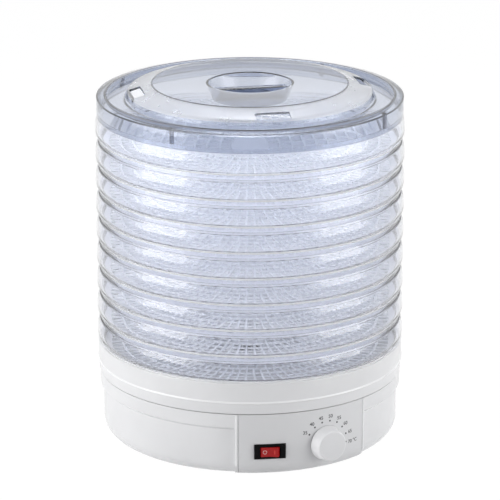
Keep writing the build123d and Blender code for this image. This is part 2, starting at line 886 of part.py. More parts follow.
with BuildPart() as bearing_lower:
    bearing_start = motor_post_top - (bearing_length - bracket_thickness) / 2
    tube(bearing_radius, shaft_radius + running_gap, bearing_start, bearing_start + bearing_length, [(0, 0)])
keep(bearing_lower, "bearing_lower")

with BuildPart() as bearing_upper:
    bearing_start = upper_bracket_bottom - (bearing_length - bracket_thickness) / 2
    tube(bearing_radius, shaft_radius + running_gap, bearing_start, bearing_start + bearing_length, [(0, 0)])
keep(bearing_upper, "bearing_upper")

with BuildPart() as motor_spacers:
    tube(spacer_radius, motor_screw_radius + seat_gap, lower_bracket_top, stator_bottom, post_spots)
    tube(spacer_radius, motor_screw_radius + seat_gap, stator_top, upper_bracket_bottom, post_spots)
keep(motor_spacers, "motor_spacers")

with BuildPart() as motor_stator:
    with BuildSketch(Plane.XY.offset(stator_bottom)) as lamination:
        with Locations((0, (stator_back - stator_front) / 2)):
            Rectangle(stator_width, stator_front + stator_back)
        window_back = stator_back - stator_leg
        with Locations((0, (stator_window_front + window_back) / 2)):
            Rectangle(stator_window_width, window_back - stator_window_front, mode=Mode.SUBTRACT)
        Circle(rotor_radius + rotor_air_gap, mode=Mode.SUBTRACT)
        with Locations(*post_spots):
            Circle(motor_screw_radius + seat_gap, mode=Mode.SUBTRACT)
    extrude(lamination.sketch, amount=stator_height)
    fillet(motor_stator.edges().filter_by(Axis.Z).group_by(Axis.Y)[0], stator_round)
keep(motor_stator, "motor_stator")

leg_middle = stator_back - stator_leg / 2
leg_level = stator_bottom + stator_height / 2
with BuildPart() as motor_winding:
    with BuildSketch(Plane.YZ.offset(-winding_width / 2)) as winding_outline:
        with Locations((leg_middle, leg_level)):
            RectangleRounded(
                stator_leg + 2 * winding_build,
                stator_height + 2 * winding_build,
                winding_build / 2,
            )
            Rectangle(stator_leg + 2 * fit_gap, stator_height + 2 * fit_gap, mode=Mode.SUBTRACT)
    extrude(winding_outline.sketch, amount=winding_width)
keep(motor_winding, "motor_winding")

with BuildPart() as motor_rotor:
    tube(rotor_radius, shaft_radius + fit_gap / 2, stator_bottom, stator_top, [(0, 0)])
keep(motor_rotor, "motor_rotor")

with BuildPart() as motor_shaft:
    column(shaft_radius, shaft_bottom, shaft_top, [(0, 0)])
    chamfer(motor_shaft.edges().filter_by(GeomType.CIRCLE), shaft_radius / 6)
keep(motor_shaft, "motor_shaft")

with BuildPart() as motor_screws:
    column(
        motor_screw_head_radius,
        upper_bracket_top,
        upper_bracket_top + motor_screw_head_height,
        post_spots,
    )
    column(motor_screw_radius, motor_post_top - motor_screw_bite + seat_gap, upper_bracket_top, post_spots)
keep(motor_screws, "motor_screws")

# Impeller on the shaft: plate, hub and leaning blades
with BuildPart() as impeller:
    plate_top = impeller_bottom + impeller_plate
    column(impeller_radius, impeller_bottom, plate_top, [(0, 0)])
    column(impeller_hub_radius, impeller_bottom, shaft_top, [(0, 0)])
    blade_start = impeller_hub_radius + 2 * impeller_blade_thickness
    blade_span = impeller_radius - blade_start
    lean = radians(impeller_blade_lean)
    with BuildSketch(Plane.XY.offset(plate_top - impeller_plate / 2)) as blade_outlines:
        with PolarLocations(blade_start + blade_span / 2, impeller_blades):
            Rectangle(blade_span * cos(lean), impeller_blade_thickness, rotation=impeller_blade_lean)
    extrude(blade_outlines.sketch, amount=shaft_top - plate_top + impeller_plate / 2)
    column(shaft_radius + fit_gap / 2, impeller_bottom, shaft_top, [(0, 0)], mode=Mode.SUBTRACT)
keep(impeller, "impeller")

# Air path above the fan: shroud, heater on its clips, fuse and grille
with BuildPart() as fan_shroud:
    turned(
        [
            (shroud_radius, shroud_bottom),
            (shroud_radius + shroud_sheet, shroud_bottom),
            (shroud_radius + shroud_sheet, deck_bottom - shroud_sheet),
            (shroud_flange_radius, deck_bottom - shroud_sheet),
            (shroud_flange_radius, deck_bottom),
            (shroud_radius, deck_bottom),
        ]
    )
    leg_window = 2 * heater_circle * sin(radians(heater_gap_angle / 2)) + 4 * heater_bend
    block(
        facing_plane(180, 0, heater_level),
        leg_window,
        4 * heater_tube_radius,
        heater_circle + heater_bend,
        shroud_flange_radius,
        mode=Mode.SUBTRACT,
    )
keep(fan_shroud, "fan_shroud")

with BuildPart() as heater_element:
    with BuildLine(Plane.XY.offset(heater_level)) as heater_path:
        first = 90 + heater_gap_angle / 2
        ring_arc = CenterArc((0, 0), heater_circle, first, 360 - heater_gap_angle)
        for end, sign in ((0, -1), (1, 1)):
            start = ring_arc @ end
            forward = (ring_arc % end) * sign
            outward = Vector(start.X, start.Y, 0).normalized()
            corner = start + forward * heater_bend + outward * heater_bend
            TangentArc(start, corner, tangent=forward)
            Line(corner, corner + outward * heater_leg)
    heater_wire = heater_path.wire()
    with BuildSketch(Plane(origin=heater_wire @ 0, z_dir=heater_wire % 0)) as heater_round:
        Circle(heater_tube_radius)
    sweep(heater_round.sketch, path=heater_wire)
keep(heater_element, "heater_element")

with BuildPart() as heater_clips:
    clip_outer = sqrt((shroud_radius - fit_gap) ** 2 - (clip_width / 2) ** 2)
    clip_top = heater_level - heater_tube_radius - fit_gap
    with BuildSketch(Plane.XY.offset(clip_top - clip_thickness)) as clip_outlines:
        with PolarLocations((clip_inner_radius + clip_outer) / 2, clip_count, start_angle=compass(0)):
            Rectangle(clip_outer - clip_inner_radius, clip_width)
    extrude(clip_outlines.sketch, amount=clip_thickness)
keep(heater_clips, "heater_clips")

with BuildPart() as thermal_fuse:
    fuse_spot = around(90, shroud_radius + shroud_sheet + seat_gap + fuse_radius, 0)[:2]
    fuse_bottom = (shroud_bottom + deck_bottom - fuse_length) / 2
    column(fuse_radius, fuse_bottom, fuse_bottom + fuse_length, [fuse_spot])
    fillet(thermal_fuse.edges().filter_by(GeomType.CIRCLE), fuse_radius / 3)
keep(thermal_fuse, "thermal_fuse")

with BuildPart() as air_grille:
    with BuildSketch(Plane.XY.offset(deck_top - grille_thickness)) as grille_outline:
        Circle(grille_radius)
        ring_pitch = (grille_opening - grille_bar) / grille_rings
        for ring in reversed(range(grille_rings)):
            Circle(ring_pitch * (ring + 1), mode=Mode.SUBTRACT)
            Circle(ring_pitch * ring + grille_bar)
        with PolarLocations(0, grille_spokes):
            Rectangle(2 * grille_opening, grille_bar)
    extrude(grille_outline.sketch, amount=grille_thickness)
keep(air_grille, "air_grille")

# Terminal block on the floor behind the motor
terminal_y = terminal_circle
terminal_spots = [((i - (terminal_ways - 1) / 2) * terminal_pitch, terminal_y) for i in range(terminal_ways)]
terminal_top = housing_floor_top + terminal_height

with BuildPart() as terminal_block:
    with BuildSketch(Plane.XY.offset(housing_floor_top)) as terminal_outline:
        with Locations((0, terminal_y)):
            Rectangle(terminal_width, terminal_depth)
    extrude(terminal_outline.sketch, amount=terminal_height)
    column(
        terminal_screw_radius + fit_gap,
        terminal_top - terminal_screw_length,
        terminal_top,
        terminal_spots,
        mode=Mode.SUBTRACT,
    )
keep(terminal_block, "terminal_block")

with BuildPart() as terminal_screws:
    column(terminal_screw_radius, terminal_top - terminal_screw_length, terminal_top, terminal_spots)
keep(terminal_screws, "terminal_screws")
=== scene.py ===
import json
import math
import bpy
import bmesh
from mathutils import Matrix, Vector


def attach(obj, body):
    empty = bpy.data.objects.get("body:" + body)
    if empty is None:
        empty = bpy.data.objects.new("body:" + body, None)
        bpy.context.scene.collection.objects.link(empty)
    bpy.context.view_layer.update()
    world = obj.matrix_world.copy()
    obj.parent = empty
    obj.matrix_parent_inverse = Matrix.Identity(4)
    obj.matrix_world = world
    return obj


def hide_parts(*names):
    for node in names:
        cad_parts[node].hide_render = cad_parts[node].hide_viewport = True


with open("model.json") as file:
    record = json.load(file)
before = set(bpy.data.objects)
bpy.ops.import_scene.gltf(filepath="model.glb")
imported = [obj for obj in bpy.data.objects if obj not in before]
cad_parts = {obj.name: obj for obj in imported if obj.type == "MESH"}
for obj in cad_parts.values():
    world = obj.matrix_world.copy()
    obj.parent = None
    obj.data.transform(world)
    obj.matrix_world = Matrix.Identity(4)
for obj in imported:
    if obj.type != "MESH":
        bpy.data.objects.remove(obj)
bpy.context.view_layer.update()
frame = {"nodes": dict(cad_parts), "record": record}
nodes = frame["nodes"]
MM = 0.001
SHARP = 40

# Sizes in millimetres, the solids' own or close to them
TRAYS = 9
PITCH = 28.3
STACK_Z = 106.8
BULGE_R = 166.6
BULGE_LOW = 8.5
BULGE_HIGH = 13.0
FOOT_R = 163.3
TRAY_SHOULDER_R = 164.4
TRAY_SHOULDER_Z = 23.1
NECK_R = 162.9
MOUTH_R = 161.4
PAN_R = 160.6
TRAY_WALL = 1.7
WALL_STEPS = 216
PAN_IN_R = 159.2
PAN_DEPTH = 9.0
PAN_LIP = 1.2
PAN_LIP_REACH = 3.2
FOOT_HIGH = 2.4
LUG_EVERY = 3
FLOOR_THICK = 1.8
FLOOR_BAR = 2.2
FLOOR_RINGS = 10
FLOOR_FIRST_R = 20.0
FLOOR_RING_STEP = 13.4
FLOOR_STEPS = 360
COVER_LOW = 72.65
COVER_R = 166.0
COVER_IN_R = 162.4
LEDGE_R = 157.4
LEDGE_LOW = 89.0
LEDGE_TOP = 91.5
COVER_BEAD_LOW = 84.2
COVER_BEAD_HIGH = 86.7
LID_R = 165.0
LID_SEAT = STACK_Z + TRAYS * PITCH
LID_TURN = -10.0
PANEL_R = 164.3
BAY_EDGE = 26.3
BEAD_HALF = 1.1
BEAD_RISE = 0.8
BEAD_LOW = 14.0
BEAD_HIGH = 71.5
KNOB_ANGLE = 8.3
KNOB_Z = 33.0
DIAL_SHIFT = 0.7
DOT_CIRCLE = 24.0
NUMBER_CIRCLE = (29.6, 29.0)
NUMBER_SIZE = 5.4
GLYPH_WELD = 0.01
SWITCH_ANGLE = -13.8
SWITCH_Z = 30.3
MARK_LIFT = 0.06
MARK_THICK = 0.1


# Mesh helpers
def around(angle, radius, z):
    """A point in metres at an angle from the front towards +X."""
    a = math.radians(angle)
    return Vector((radius * math.sin(a), -radius * math.cos(a), z)) * MM


def rounded(path, usual, steps=4):
    """A closed (r, z) path whose corners are rounded. A third value is that corner's own radius."""
    out = []
    n = len(path)
    for i, point in enumerate(path):
        radius = point[2] if len(point) > 2 else usual
        p = Vector(point[:2])
        a = Vector(path[i - 1][:2]) - p
        b = Vector(path[(i + 1) % n][:2]) - p
        turn = math.pi - a.angle(b)
        if turn < 0.2:
            out.append(p)
            continue
        reach = min(radius * math.tan(turn / 2), 0.45 * a.length, 0.45 * b.length)
        start = p + a.normalized() * reach
        end = p + b.normalized() * reach
        for s in range(steps + 1):
            t = s / steps
            out.append(start * (1 - t) ** 2 + p * 2 * t * (1 - t) + end * t ** 2)
    return [(q[0], q[1]) for q in out]


def arc(start, middle_bulge, end, steps=8):
    """Points on a shallow arc between two (r, z) points, pushed out by a bulge."""
    a, b = Vector(start), Vector(end)
    side = Vector((b[1] - a[1], a[0] - b[0])).normalized() * middle_bulge
    return [tuple(a.lerp(b, i / steps) + side * math.sin(math.pi * i / steps)) for i in range(steps + 1)]


def finish_mesh(name, bm, sharp=SHARP):
    """Turns a bmesh into an object with smooth faces and sharp corners."""
    bmesh.ops.remove_doubles(bm, verts=bm.verts, dist=1e-6)
    bmesh.ops.recalc_face_normals(bm, faces=bm.faces)
    mesh = bpy.data.meshes.new(name)
    bm.to_mesh(mesh)
    bm.free()
    for face in mesh.polygons:
        face.use_smooth = True
    mesh.set_sharp_from_angle(angle=math.radians(sharp))
    obj = bpy.data.objects.new(name, mesh)
    bpy.context.scene.collection.objects.link(obj)
    return obj


def lathe(bm, path, segments=180):
    """Adds a full ring turned from a closed (r, z) path. Points on the axis are shared."""
    rings = []
    for r, z in path:
        if r < 1e-6:
            rings.append([bm.verts.new((0, 0, z * MM))] * segments)
            continue
        ring = []
        for i in range(segments):
            a = 2 * math.pi * i / segments
            ring.append(bm.verts.new((r * MM * math.sin(a), -r * MM * math.cos(a), z * MM)))
        rings.append(ring)
    for k in range(len(rings)):
        lower, upper = rings[k], rings[(k + 1) % len(rings)]
        for i in range(segments):
            j = (i + 1) % segments
            quad = []
            for v in (lower[i], lower[j], upper[j], upper[i]):
                if v not in quad:
                    quad.append(v)
            if len(quad) > 2:
                bm.faces.new(quad)


def box_bm(bm, size, centre, turn=0.0):
    """Adds a box of a size in mm, turned about Z and then moved."""
    made = bmesh.ops.create_cube(bm, size=1.0)["verts"]
    c, s = math.cos(math.radians(turn)), math.sin(math.radians(turn))
    for v in made:
        x, y, z = v.co.x * size[0], v.co.y * size[1], v.co.z * size[2]
        v.co = Vector((x * c - y * s + centre[0], x * s + y * c + centre[1], z + centre[2])) * MM


def carve(obj, cutter, operation):
    """Joins or cuts a piece with another mesh and keeps only the result."""
    mod = obj.modifiers.new("carve", "BOOLEAN")
    mod.operation = operation
    mod.solver = "EXACT"
    mod.object = cutter
    bpy.context.view_layer.update()
    shape = obj.evaluated_get(bpy.context.evaluated_depsgraph_get())
    mesh = bpy.data.meshes.new_from_object(shape)
    obj.modifiers.clear()
    obj.data = mesh
    bpy.data.objects.remove(cutter)
    for face in mesh.polygons:
        face.use_smooth = True
    mesh.set_sharp_from_angle(angle=math.radians(SHARP))


# Materials
def plain(name, colour, rough, metallic=0.0, bump=0.02, scale=900.0, vary=0.03, gloss=0.5, alpha=1.0):
    """A moulded or machined surface with slight colour change, roughness change and fine bump."""
    mat = bpy.data.materials.new(name)
    mat.use_nodes = True
    tree = mat.node_tree
    shader = tree.nodes["Principled BSDF"]
    shader.inputs["Metallic"].default_value = metallic
    shader.inputs["Specular IOR Level"].default_value = gloss
    shader.inputs["Alpha"].default_value = alpha
    coords = tree.nodes.new("ShaderNodeTexCoord")
    cloud = tree.nodes.new("ShaderNodeTexNoise")
    cloud.inputs["Scale"].default_value = 14.0
    cloud.inputs["Detail"].default_value = 4.0
    ramp = tree.nodes.new("ShaderNodeValToRGB")
    low = [max(0.0, c * (1 - vary)) for c in colour]
    high = [min(1.0, c * (1 + vary)) for c in colour]
    ramp.color_ramp.elements[0].position = 0.3
    ramp.color_ramp.elements[1].position = 0.7
    ramp.color_ramp.elements[0].color = (*low, 1)
    ramp.color_ramp.elements[1].color = (*high, 1)
    spread = tree.nodes.new("ShaderNodeMapRange")
    spread.inputs["To Min"].default_value = rough * 0.85
    spread.inputs["To Max"].default_value = min(1.0, rough * 1.15)
    grain = tree.nodes.new("ShaderNodeTexNoise")
    grain.inputs["Scale"].default_value = scale
    relief = tree.nodes.new("ShaderNodeBump")
    relief.inputs["Strength"].default_value = bump
    relief.inputs["Distance"].default_value = 0.0004
    edge = tree.nodes.new("ShaderNodeBevel")
    edge.samples = 4
    edge.inputs["Radius"].default_value = 0.0007
    link = tree.links.new
    link(coords.outputs["Object"], cloud.inputs["Vector"])
    link(coords.outputs["Object"], grain.inputs["Vector"])
    link(cloud.outputs["Fac"], ramp.inputs["Fac"])
    link(ramp.outputs["Color"], shader.inputs["Base Color"])
    link(cloud.outputs["Fac"], spread.inputs["Value"])
    link(spread.outputs["Result"], shader.inputs["Roughness"])
    link(grain.outputs["Fac"], relief.inputs["Height"])
    link(edge.outputs["Normal"], relief.inputs["Normal"])
    link(relief.outputs["Normal"], shader.inputs["Normal"])
    return mat


def clear(name, colour, rough, ior, bump, passing=1.0):
    """Clear moulded plastic with a faint flow ripple. Less passing light makes it milky."""
    mat = bpy.data.materials.new(name)
    mat.use_nodes = True
    tree = mat.node_tree
    shader = tree.nodes["Principled BSDF"]
    shader.inputs["Base Color"].default_value = (*colour, 1)
    shader.inputs["Transmission Weight"].default_value = passing
    shader.inputs["IOR"].default_value = ior
    coords = tree.nodes.new("ShaderNodeTexCoord")
    ripple = tree.nodes.new("ShaderNodeTexNoise")
    ripple.inputs["Scale"].default_value = 60.0
    ripple.inputs["Detail"].default_value = 2.0
    relief = tree.nodes.new("ShaderNodeBump")
    relief.inputs["Strength"].default_value = bump
    relief.inputs["Distance"].default_value = 0.001
    spread = tree.nodes.new("ShaderNodeMapRange")
    spread.inputs["To Min"].default_value = rough * 0.7
    spread.inputs["To Max"].default_value = rough * 1.3
    link = tree.links.new
    link(coords.outputs["Object"], ripple.inputs["Vector"])
    link(ripple.outputs["Fac"], relief.inputs["Height"])
    link(ripple.outputs["Fac"], spread.inputs["Value"])
    link(spread.outputs["Result"], shader.inputs["Roughness"])
    link(relief.outputs["Normal"], shader.inputs["Normal"])
    shade = tree.nodes.new("ShaderNodeBsdfTransparent")
    shade.inputs["Color"].default_value = (*colour, 1)
    path = tree.nodes.new("ShaderNodeLightPath")
    mix = tree.nodes.new("ShaderNodeMixShader")
    link(path.outputs["Is Shadow Ray"], mix.inputs[0])
    link(shader.outputs[0], mix.inputs[1])
    link(shade.outputs[0], mix.inputs[2])
    link(mix.outputs[0], tree.nodes["Material Output"].inputs["Surface"])
    return mat


def lighten_flanks(mat, axis, colour):
    """Paints a highlight: the faces that look away from an axis get a lighter colour than its end faces.
    """
    tree = mat.node_tree
    shader = tree.nodes["Principled BSDF"]
    usual = shader.inputs["Base Color"].links[0].from_socket
    coords = tree.nodes.new("ShaderNodeTexCoord")
    along = tree.nodes.new("ShaderNodeVectorMath")
    along.operation = "DOT_PRODUCT"
    along.inputs[1].default_value = axis
    facing = tree.nodes.new("ShaderNodeMapRange")
    facing.inputs["From Min"].default_value = 0.75
    facing.inputs["From Max"].default_value = 0.97
    blend = tree.nodes.new("ShaderNodeMixRGB")
    blend.inputs["Color1"].default_value = (*colour, 1)
    tree.links.new(coords.outputs["Normal"], along.inputs[0])
    tree.links.new(along.outputs["Value"], facing.inputs["Value"])
    tree.links.new(facing.outputs["Result"], blend.inputs["Fac"])
    tree.links.new(usual, blend.inputs["Color2"])
    tree.links.new(blend.outputs["Color"], shader.inputs["Base Color"])


def paint(obj, mat):
    """Gives a piece or a CAD node one material."""
    obj.data.materials.clear()
    obj.data.materials.append(mat)


white = plain("white_plastic", (0.80, 0.80, 0.81), 0.22, bump=0.01)
panel_grey = plain("panel_plastic", (0.74, 0.74, 0.75), 0.40, bump=0.03)
knob_grey = plain("knob_plastic", (0.78, 0.78, 0.79), 0.36, bump=0.02)
black = plain("black_plastic", (0.004, 0.004, 0.0045), 0.40, bump=0.02, vary=0.15, gloss=0.06)
red = plain("red_plastic", (0.42, 0.006, 0.008), 0.30, bump=0.01, vary=0.08, gloss=0.3)
ink = plain("dial_ink", (0.08, 0.08, 0.085), 0.6, bump=0.01)
pale_mark = plain("rocker_mark", (0.75, 0.42, 0.40), 0.5, bump=0.01)
bright_mark = plain("rocker_bar", (0.75, 0.06, 0.05), 0.5, bump=0.01)
# A lighter white that paints highlights on the cover's bead and the bay's beads
bead_painted_highlight = plain("bead_painted_highlight", (0.94, 0.94, 0.95), 0.18, bump=0.005, vary=0.01)
# The knob's flanks get a painted highlight, a lighter grey than its face
lighten_flanks(knob_grey, around(KNOB_ANGLE, 1.0, 0.0) / MM, (0.93, 0.93, 0.94))
rubber = plain("grey_rubber", (0.06, 0.06, 0.065), 0.75, bump=0.15, vary=0.1)
sheet = plain("sheet_metal", (0.70, 0.70, 0.71), 0.35, metallic=1.0, bump=0.05)
steel = plain("screw_steel", (0.55, 0.55, 0.57), 0.28, metallic=1.0, bump=0.03)
laminated = plain("laminated_steel", (0.25, 0.25, 0.27), 0.5, metallic=0.8, bump=0.2, scale=400)
sheath = plain("heater_sheath", (0.22, 0.20, 0.19), 0.45, metallic=0.9, bump=0.1, vary=0.2)
copper = plain("copper_wire", (0.55, 0.22, 0.09), 0.35, metallic=0.9, bump=0.3, scale=300)
bronze = plain("bronze", (0.60, 0.43, 0.18), 0.35, metallic=1.0, bump=0.03)
ceramic = plain("white_ceramic", (0.78, 0.76, 0.72), 0.7, bump=0.1)
clear_tray = clear("clear_tray", (0.966, 0.973, 1.0), 0.02, 1.47, 0.005)
# Painted highlight: a milky white line along each tray's foot
foot_painted_highlight = clear("foot_painted_highlight", (0.97, 0.975, 0.985), 0.25, 1.5, 0.01, 0.15)
# The floor's spokes take a painted highlight and its ring bars a painted shade
net_painted_highlight = plain("net_painted_highlight", (0.93, 0.945, 0.985), 0.25, bump=0.0, vary=0.01)
net_painted_shade = plain("net_painted_shade", (0.27, 0.29, 0.40), 0.25, bump=0.0, vary=0.01, alpha=0.9)
# Painted shade: dark patches that stand for the lugs under each pan
lug_painted_shade = plain("lug_painted_shade", (0.12, 0.12, 0.16), 0.3, bump=0.0, vary=0.01)
clear_lid = clear("clear_lid", (0.60, 0.635, 0.715), 0.02, 1.45, 0.01)
# Painted shade for the dark lines along the lid's edges and ribs
edge_painted_shade = clear("edge_painted_shade", (0.15, 0.16, 0.20), 0.05, 1.45, 0.0)
# A milky white that paints a bright reflection on the lid's upward slope
lid_slope_painted_reflection = clear("lid_slope_painted_reflection", (0.97, 0.975, 0.985), 0.30, 1.45, 0.02, 0.8)

slot_materials = {
    "white_plastic": white, "panel_plastic": panel_grey, "knob_plastic": knob_grey, "black_plastic": black,
    "red_plastic": red, "grey_rubber": rubber, "sheet_metal": sheet, "screw_steel": steel,
    "laminated_steel": laminated, "heater_sheath": sheath, "copper_wire": copper, "bronze": bronze,
    "white_ceramic": ceramic, "clear_plastic": clear_tray,
}
for entry in frame["record"]["subparts"]:
    paint(nodes[entry["node"]], slot_materials[entry["material_slot"]])

# Trays: one wall and one floor of spokes and rings, used nine times
outer_low = arc((FOOT_R, 0.0), 0.75, (BULGE_R, BULGE_LOW))
outer_high = arc((BULGE_R, BULGE_HIGH), 0.5, (TRAY_SHOULDER_R, TRAY_SHOULDER_Z))
inner_high = [(r - TRAY_WALL, z - 0.4) for r, z in reversed(outer_high)]
inner_low = [(r - TRAY_WALL, z + TRAY_WALL * (1 - z / BULGE_LOW)) for r, z in reversed(outer_low)]
wall_path = (
    outer_low
    + outer_high
    + rounded(
        [
            (TRAY_SHOULDER_R - 0.2, TRAY_SHOULDER_Z + 0.3), (NECK_R, TRAY_SHOULDER_Z + 0.4),
            (NECK_R, PITCH), (MOUTH_R, PITCH),
        ],
        0.4,
        3,
    )
    + [(MOUTH_R, TRAY_SHOULDER_Z + 0.2)]
    + inner_high
    + inner_low
    + rounded(
        [
            (PAN_IN_R, TRAY_WALL), (PAN_IN_R, PAN_LIP - PAN_DEPTH),
            (PAN_IN_R - PAN_LIP_REACH, PAN_LIP - PAN_DEPTH), (PAN_IN_R - PAN_LIP_REACH, -PAN_DEPTH),
            (PAN_R, -PAN_DEPTH), (PAN_R, 0.0),
        ],
        0.4,
        3,
    )
)
bm = bmesh.new()
lathe(bm, wall_path, WALL_STEPS)
tray_wall = finish_mesh("tray_wall_form", bm, 50)
paint(tray_wall, clear_tray)
tray_wall.data.materials.append(foot_painted_highlight)
tray_wall.data.materials.append(lug_painted_shade)
# The foot takes a milky white that paints a highlight line, and dark patches of painted shade on the pan's
# lower rim stand for its small lugs
for face in tray_wall.data.polygons:
    x, y, z = face.center / MM
    reach = math.hypot(x, y)
    step = math.degrees(math.atan2(x, -y)) % 360 * WALL_STEPS // 360
    on_foot_highlight = reach > PAN_R + 0.9 and -0.2 < z < FOOT_HIGH
    on_pan_rim = reach > PAN_IN_R - 1.7 and z < PAN_LIP - 0.4 - PAN_DEPTH
    if on_foot_highlight:
        face.material_index = 1
    elif on_pan_rim and step % LUG_EVERY == 0:
        face.material_index = 2


def net_floor(outer, top, thick, windows):
    """A flat disc with rings of windows, each an inner radius, outer radius, spokes and a bar's steps."""
    bm = bmesh.new()
    steps = FLOOR_STEPS
    edges = [windows[0][0] - FLOOR_BAR]
    for inner, out, spokes, bar in windows:
        edges += [inner, out]
    edges.append(outer)
    grid = []
    for z in (top, top - thick):
        layer = []
        for r in edges:
            ring = []
            for i in range(steps):
                a = 2 * math.pi * (i + 0.5) / steps
                ring.append(bm.verts.new((r * MM * math.sin(a), -r * MM * math.cos(a), z * MM)))
            layer.append(ring)
        grid.append(layer)
    solid = {}
    for k in range(len(edges) - 1):
        for i in range(steps):
            solid[k, i] = True
            if k % 2 == 1:
                inner, out, spokes, bar = windows[k // 2]
                solid[k, i] = i % (steps // spokes) < bar
    t, b = grid
    for (k, i), kept in solid.items():
        if not kept:
            continue
        j = (i + 1) % steps
        top_face = bm.faces.new((t[k][i], t[k][j], t[k + 1][j], t[k + 1][i]))
        low_face = bm.faces.new((b[k][i], b[k + 1][i], b[k + 1][j], b[k][j]))
        # Spokes take the painted highlight and ring bars the painted shade
        top_face.material_index = low_face.material_index = 1 - k % 2
        if not solid[k, j]:
            bm.faces.new((t[k][j], t[k + 1][j], b[k + 1][j], b[k][j]))
        if not solid[k, (i - 1) % steps]:
            bm.faces.new((t[k][i], t[k + 1][i], b[k + 1][i], b[k][i]))
        if not solid.get((k + 1, i), False):
            bm.faces.new((t[k + 1][i], t[k + 1][j], b[k + 1][j], b[k + 1][i]))
        if k > 0 and not solid[k - 1, i]:
            bm.faces.new((t[k][i], t[k][j], b[k][j], b[k][i]))
    for side in (t, b):
        bm.faces.new(side[0])
    return finish_mesh("tray_floor_form", bm, 30)


floor_windows = []
for ring in range(FLOOR_RINGS):
    inner = FLOOR_FIRST_R + FLOOR_RING_STEP * ring
    if inner < 50:
        spokes, bar = 36, 2
    elif inner < 95:
        spokes, bar = 60, 1
    else:
        spokes, bar = 90, 1
    floor_windows.append((inner, inner + FLOOR_RING_STEP - FLOOR_BAR, spokes, bar))
floor_top = PAN_LIP - PAN_DEPTH + FLOOR_THICK
tray_floor = net_floor(PAN_IN_R - 0.1, floor_top, FLOOR_THICK, floor_windows)
paint(tray_floor, net_painted_highlight)
tray_floor.data.materials.append(net_painted_shade)

for number in range(1, TRAYS + 1):
    body = f"tray_{number}"
    z = (STACK_Z + (number - 1) * PITCH) * MM
    wall = bpy.data.objects.new(f"tray_wall_{number}", tray_wall.data)
    floor = bpy.data.objects.new(f"tray_slots_{number}", tray_floor.data)
    for piece in (wall, floor):
        piece.location.z = z
        bpy.context.scene.collection.objects.link(piece)
        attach(piece, body)
    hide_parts(body)
    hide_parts(f"tray_floor_{number}")
bpy.data.objects.remove(tray_wall)
bpy.data.objects.remove(tray_floor)

# Lid
RIM_TOP = LID_SEAT + 16.2
RIM_IN_TOP = RIM_TOP + 2.3
TROUGH = RIM_IN_TOP - 5.7
SHOULDER = TROUGH + 9.5
DISC = SHOULDER + 7.1
WELL = DISC - 20.0
LID_WALL = 2.0
LID_DROP = 4.6
SKIRT_IN_R = 163.3
RIM_IN_R = 154.4
TROUGH_IN_R = 133.4
TROUGH_OUT_R = 153.4
SHOULDER_OUT_R = 130.9
DISC_R = 105.3
WELL_R = 38.0
WELL_TOP_R = 45.0
SLOPE_R = 131.5
EDGE = 0.9
QUARTERS = range(0, 360, 90)
VENT_R = 122.6
VENT_SIZE = (37.0, 12.0, 16.0)
VENT_RISE = 3.5
RIB_R = 162.2
RIB_TURN = 49.0
RIB_SIZE = (3.5, 3.8, RIM_TOP - 1.0 - LID_SEAT)
GRIP_SIZE = (81.0, 12.0, 15.4)
HOLLOW_SIZE = (72.0, 8.0, 15.3)
lid_path = rounded(
    [
        (WELL_R, WELL), (WELL_TOP_R, DISC), (DISC_R - EDGE, DISC), (DISC_R, DISC),
        (DISC_R + EDGE, DISC - 0.28 * EDGE), (SHOULDER_OUT_R, SHOULDER, 5.0), (TROUGH_IN_R, TROUGH, 5.0),
        (TROUGH_OUT_R, TROUGH), (RIM_IN_R - 0.1, RIM_IN_TOP - EDGE), (RIM_IN_R, RIM_IN_TOP),
        (RIM_IN_R + EDGE, RIM_IN_TOP - 0.22 * EDGE), (LID_R, RIM_TOP), (LID_R, LID_SEAT - LID_DROP),
        (SKIRT_IN_R, LID_SEAT - LID_DROP), (SKIRT_IN_R, RIM_TOP - LID_WALL),
        (RIM_IN_R + LID_WALL, RIM_IN_TOP - LID_WALL), (TROUGH_OUT_R + LID_WALL, TROUGH - LID_WALL),
        (TROUGH_IN_R - LID_WALL, TROUGH - LID_WALL, 4.0),
        (SHOULDER_OUT_R - LID_WALL, SHOULDER - LID_WALL, 4.0), (DISC_R, DISC - LID_WALL),
        (WELL_TOP_R + LID_WALL, DISC - LID_WALL), (WELL_R + LID_WALL, WELL - LID_WALL),
    ],
    0.7,
    4,
)
lid_path = [(0.0, WELL)] + lid_path + [(0.0, WELL - LID_WALL)]
bm = bmesh.new()
lathe(bm, lid_path, 240)
lid = finish_mesh("lid_shell", bm)
bm = bmesh.new()
box_bm(bm, GRIP_SIZE, (0, 0, WELL - LID_WALL / 2 + GRIP_SIZE[2] / 2), LID_TURN)
bar = finish_mesh("grip_cutter", bm)
bevel = bar.modifiers.new("round", "BEVEL")
bevel.width = 1.2 * MM
bevel.segments = 3
carve(lid, bar, "UNION")
bm = bmesh.new()
for quarter in QUARTERS:
    turn = LID_TURN + quarter
    box_bm(bm, VENT_SIZE, around(turn, VENT_R, SHOULDER + VENT_RISE) / MM, turn)
vents = finish_mesh("vent_cutter", bm)
carve(lid, vents, "DIFFERENCE")
bm = bmesh.new()
for quarter in QUARTERS:
    turn = LID_TURN + RIB_TURN + quarter
    box_bm(bm, RIB_SIZE, around(turn, RIB_R, LID_SEAT + RIB_SIZE[2] / 2) / MM, turn)
ribs = finish_mesh("rib_cutter", bm)
carve(lid, ribs, "UNION")
bm = bmesh.new()
box_bm(bm, HOLLOW_SIZE, (0, 0, WELL - LID_WALL - 0.1 + HOLLOW_SIZE[2] / 2), LID_TURN)
hollow = finish_mesh("hollow_cutter", bm)
carve(lid, hollow, "DIFFERENCE")
paint(lid, clear_lid)
lid.data.materials.append(lid_slope_painted_reflection)
lid.data.materials.append(edge_painted_shade)
